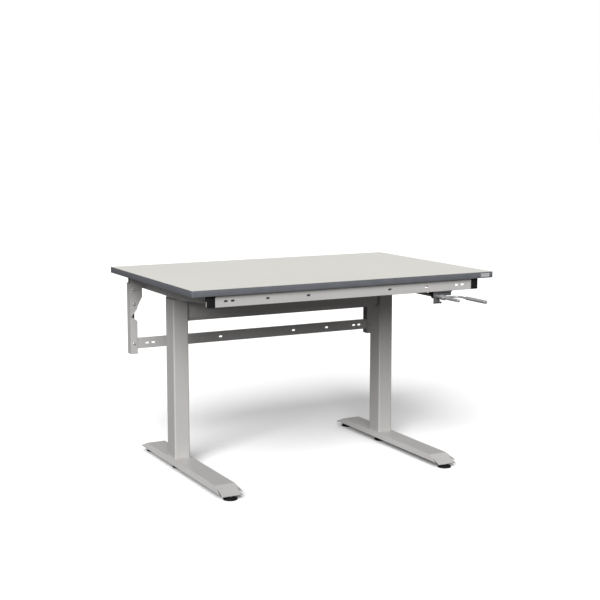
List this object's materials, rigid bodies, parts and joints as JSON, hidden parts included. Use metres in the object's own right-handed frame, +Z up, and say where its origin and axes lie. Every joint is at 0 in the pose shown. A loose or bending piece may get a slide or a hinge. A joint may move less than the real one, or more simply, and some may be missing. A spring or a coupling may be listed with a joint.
{
  "type": "height adjustable desk",
  "caption": "Desk with a hand crank: a rectangular top on two telescoping columns with flat feet, lead screws, bevel gears, a cross shaft and slotted rails.",
  "frame": {"origin": "on the floor, under the middle of the whole desk's bounding box, with the top at its lowest height", "axes": "+X to the right of a person who sits at the desk, +Y from that person towards the rear, +Z up"},
  "size_m": [1.2, 1.01, 0.737],
  "materials": {
    "laminate": "light grey laminate, fine texture",
    "board": "particle board",
    "backing": "grey backing laminate",
    "edge_band": "dark grey plastic band",
    "label_plate": "blank pale label",
    "frame_paint": "silver grey satin paint",
    "zinc_steel": "zinc plated steel",
    "bare_steel": "turned steel",
    "bearing_steel": "ground bearing steel",
    "gear_steel": "sintered steel",
    "cast_metal": "die cast, rough",
    "brass_nut": "turned",
    "bronze": "sintered bronze",
    "dark_zinc": "steel with a dark zinc finish",
    "dark_steel": "dark grey satin paint",
    "grey_plastic": "grey moulded plastic",
    "black_plastic": "black moulded plastic"
  },
  "bodies": {
    "base": {"foot_left": "frame_paint", "foot_right": "frame_paint", "weld_nuts": "zinc_steel", "outer_column_left": "frame_paint", "outer_column_right": "frame_paint", "column_base_plates": "frame_paint", "column_bolts": "zinc_steel", "nut_tubes": "bare_steel", "lead_nuts": "brass_nut", "guide_bushes": "grey_plastic"},
    "lift": {"tabletop_core": "board", "top_sheet": "laminate", "backing_sheet": "backing", "edge_band": "edge_band", "blank_plate": "label_plate", "tabletop_screws": "zinc_steel", "lower_glides": "black_plastic", "screw_bearings": "bearing_steel", "head_gearbox_left": "cast_metal", "head_gearbox_right": "cast_metal", "crank_gearbox": "cast_metal", "gearbox_lids": "zinc_steel", "lid_screws": "zinc_steel", "shaft_bushes": "bronze", "shaft_hanger": "black_plastic", "cross_beam": "frame_paint", "beam_brackets": "frame_paint", "front_rail": "frame_paint", "rear_rail": "frame_paint", "lower_rail": "frame_paint", "rail_end_caps": "black_plastic", "hanger_plates": "frame_paint", "frame_bolts": "zinc_steel", "crank_housing": "black_plastic", "crank_bracket": "dark_steel", "inner_column_left": "frame_paint", "head_bracket_left": "frame_paint", "side_arm_left": "frame_paint", "rear_post_left": "frame_paint", "inner_column_right": "frame_paint", "head_bracket_right": "frame_paint", "side_arm_right": "frame_paint", "rear_post_right": "frame_paint"},
    "screw_left": {"lead_screw_left": "bare_steel", "screw_gear_left": "gear_steel"},
    "screw_right": {"lead_screw_right": "bare_steel", "screw_gear_right": "gear_steel"},
    "cross_shaft": {"cross_shaft": "bare_steel", "shaft_gears": "gear_steel"},
    "crank": {"crank_shaft": "dark_zinc", "crank_gear": "gear_steel", "crank_arm": "dark_zinc", "crank_end_cap": "grey_plastic"},
    "crank_grip": {"crank_grip": "dark_zinc"},
    "levelling_foot_left_front": {"levelling_foot_left_front": "black_plastic"},
    "levelling_foot_left_middle": {"levelling_foot_left_middle": "black_plastic"},
    "levelling_foot_left_rear": {"levelling_foot_left_rear": "black_plastic"},
    "levelling_foot_right_front": {"levelling_foot_right_front": "black_plastic"},
    "levelling_foot_right_middle": {"levelling_foot_right_middle": "black_plastic"},
    "levelling_foot_right_rear": {"levelling_foot_right_rear": "black_plastic"}
  },
  "joints": [
    {"name": "height", "type": "slide", "parent": "base", "child": "lift", "axis": [0, 0, 1], "range_m": [0, 0.4]},
    {"name": "screw_turn_left", "type": "hinge", "parent": "lift", "child": "screw_left", "pos_m": [-0.441, 0.212, 0.6], "axis": [0, 0, 1], "range_deg": [0, 18000]},
    {"name": "screw_turn_right", "type": "hinge", "parent": "lift", "child": "screw_right", "pos_m": [0.441, 0.212, 0.6], "axis": [0, 0, 1], "range_deg": [0, 18000]},
    {"name": "cross_shaft_turn", "type": "hinge", "parent": "lift", "child": "cross_shaft", "pos_m": [0, 0.212, 0.657], "axis": [1, 0, 0], "range_deg": [0, 18000]},
    {"name": "crank_turn", "type": "hinge", "parent": "lift", "child": "crank", "pos_m": [0.368, -0.315, 0.657], "axis": [0, 1, 0], "range_deg": [0, 18000]},
    {"name": "grip_spin", "type": "hinge", "parent": "crank", "child": "crank_grip", "pos_m": [0.433, -0.415, 0.657], "axis": [0, 1, 0], "continuous": true},
    {"name": "level_left_front", "type": "slide", "parent": "base", "child": "levelling_foot_left_front", "axis": [0, 0, -1], "range_m": [0, 0.006]},
    {"name": "level_left_middle", "type": "slide", "parent": "base", "child": "levelling_foot_left_middle", "axis": [0, 0, -1], "range_m": [0, 0.006]},
    {"name": "level_left_rear", "type": "slide", "parent": "base", "child": "levelling_foot_left_rear", "axis": [0, 0, -1], "range_m": [0, 0.006]},
    {"name": "level_right_front", "type": "slide", "parent": "base", "child": "levelling_foot_right_front", "axis": [0, 0, -1], "range_m": [0, 0.006]},
    {"name": "level_right_middle", "type": "slide", "parent": "base", "child": "levelling_foot_right_middle", "axis": [0, 0, -1], "range_m": [0, 0.006]},
    {"name": "level_right_rear", "type": "slide", "parent": "base", "child": "levelling_foot_right_rear", "axis": [0, 0, -1], "range_m": [0, 0.006]}
  ],
  "couplings": [
    {"joint": "screw_turn_left", "follows": "height", "rad_per_m": 785.4},
    {"joint": "screw_turn_right", "follows": "height", "rad_per_m": 785.4},
    {"joint": "cross_shaft_turn", "follows": "height", "rad_per_m": 785.4},
    {"joint": "crank_turn", "follows": "height", "rad_per_m": 785.4}
  ]
}
